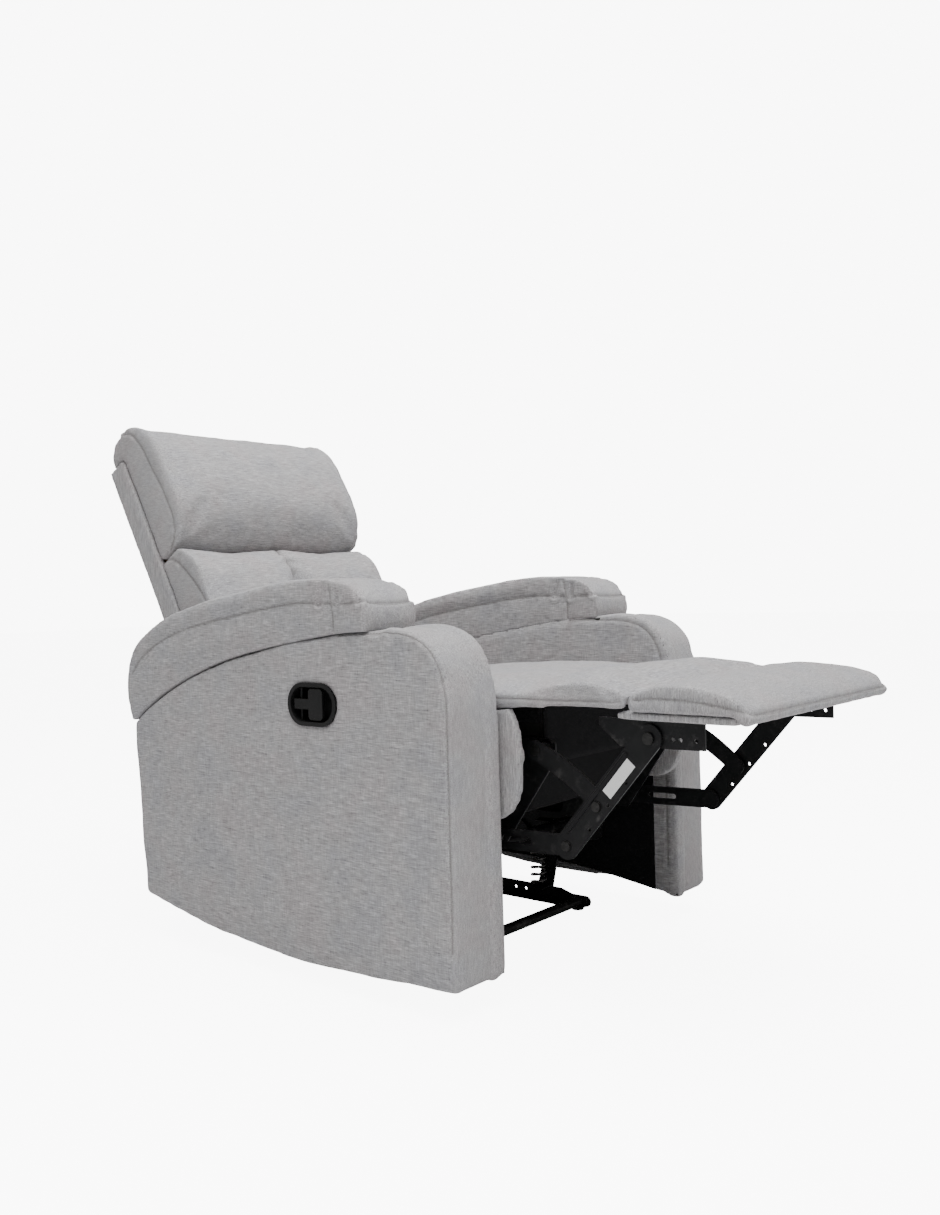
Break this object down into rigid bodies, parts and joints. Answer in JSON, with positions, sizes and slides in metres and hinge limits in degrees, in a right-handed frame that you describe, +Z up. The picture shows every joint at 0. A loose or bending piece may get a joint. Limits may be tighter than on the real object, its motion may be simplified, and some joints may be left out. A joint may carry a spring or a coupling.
{
  "type": "rocker recliner armchair",
  "caption": "Upholstered rocker recliner with padded arms, reclining back, fold-out footrest on steel links, pull handle and a steel floor base.",
  "frame": {"origin": "on the floor, at the centre of the chair's bounding box with the footrest out", "axes": "+Z up, the sitter faces -Y, +X to the sitter's left"},
  "size_m": [0.788, 1.4988, 1.029],
  "materials": {
    "upholstery": "heathered woven",
    "black_cloth": "non-woven",
    "black_steel": "satin powder coat",
    "bright_steel": "zinc",
    "spring_steel": "oiled",
    "wood": "raw plywood",
    "black_plastic": "matte",
    "cable_jacket": "satin",
    "label_paper": "paper"
  },
  "bodies": {
    "base": {"floor_glides": "black_plastic", "floor_rails": "black_steel", "base_cross_tubes": "black_steel", "rocker_stands": "black_steel", "rocker_pins": "bright_steel", "stand_bolts": "bright_steel", "spring_seats": "black_steel", "rocker_springs": "spring_steel"},
    "chair": {"mechanism_plates": "black_steel", "spring_brackets": "black_steel", "plate_spacers": "black_steel", "arm_bolts": "bright_steel", "mechanism_cross_tubes": "black_steel", "glide_channels": "black_steel", "rear_rail": "wood", "arm_cover_left": "upholstery", "arm_cover_right": "upholstery", "arm_frame_left": "wood", "arm_frame_right": "wood", "arm_lining_left": "black_cloth", "arm_lining_right": "black_cloth", "arm_pillow_left": "upholstery", "arm_pillow_right": "upholstery", "handle_cup": "black_plastic", "release_cable": "cable_jacket", "latch_pin": "bright_steel"},
    "paddle": {"release_paddle": "black_plastic"},
    "latch": {"latch_pawl": "black_steel"},
    "seat": {"seat_frame": "wood", "seat_springs": "spring_steel", "seat_cushion": "upholstery", "seat_side_panels": "upholstery", "seat_side_plates": "black_steel", "glide_runners": "black_plastic", "link_pins": "bright_steel", "seat_dust_cover": "black_cloth", "recline_pins": "bright_steel"},
    "back": {"back_frame": "wood", "back_springs": "spring_steel", "lumbar_cushions": "upholstery", "headrest_cushion": "upholstery", "back_shell": "upholstery", "back_brackets": "black_steel"},
    "footrest": {"bridge_pad": "upholstery", "footrest_board": "upholstery", "footrest_pad": "upholstery", "footrest_brackets": "black_steel", "board_screws": "bright_steel", "footrest_pins": "bright_steel"},
    "long_links": {"long_links": "black_steel", "long_link_rivets": "bright_steel", "blank_label": "label_paper"},
    "drive_links": {"drive_links": "black_steel"},
    "guide_links": {"guide_links": "black_steel"}
  },
  "joints": [
    {"name": "rock", "type": "hinge", "parent": "base", "child": "chair", "pos_m": [0, 0.0696, 0.14], "axis": [1, 0, 0], "range_deg": [-5, 5], "stiffness_Nm_per_rad": 1400, "deforming": ["rocker_springs"]},
    {"name": "paddle_pull", "type": "hinge", "parent": "chair", "child": "paddle", "pos_m": [-0.38, 0.0056, 0.471], "axis": [0, 0, -1], "range_deg": [0, 30], "stiffness_Nm_per_rad": 0.35},
    {"name": "latch_release", "type": "hinge", "parent": "chair", "child": "latch", "pos_m": [-0.252, -0.0004, 0.236], "axis": [1, 0, 0], "range_deg": [-15, 0]},
    {"name": "seat_glide", "type": "slide", "parent": "chair", "child": "seat", "axis": [0, 1, 0], "range_m": [-0.0502, 0.0452]},
    {"name": "recline", "type": "hinge", "parent": "seat", "child": "back", "pos_m": [0, 0.4296, 0.42], "axis": [-1, 0, 0], "range_deg": [-18, 20]},
    {"name": "footrest_fold", "type": "hinge", "parent": "seat", "child": "footrest", "pos_m": [0, -0.3614, 0.466], "axis": [1, 0, 0], "range_deg": [0, 90]},
    {"name": "long_link_pivot", "type": "hinge", "parent": "footrest", "child": "long_links", "pos_m": [0, -0.5784, 0.431], "axis": [1, 0, 0], "range_deg": [0, 7.35]},
    {"name": "drive_link_pivot", "type": "hinge", "parent": "seat", "child": "drive_links", "pos_m": [0, -0.2441, 0.2497], "axis": [1, 0, 0], "range_deg": [-112.05, 0]},
    {"name": "guide_link_pivot", "type": "hinge", "parent": "seat", "child": "guide_links", "pos_m": [0, -0.365, 0.3979], "axis": [1, 0, 0], "range_deg": [0, 130.56]}
  ],
  "couplings": [
    {"joint": "latch_release", "follows": "paddle_pull", "ratio": -0.5},
    {"joint": "seat_glide", "follows": "recline", "m_per_rad": -0.14324},
    {"joint": "long_link_pivot", "follows": "footrest_fold", "ratio": 0.076105},
    {"joint": "drive_link_pivot", "follows": "footrest_fold", "ratio": -1.2395},
    {"joint": "guide_link_pivot", "follows": "footrest_fold", "ratio": 1.4452}
  ]
}
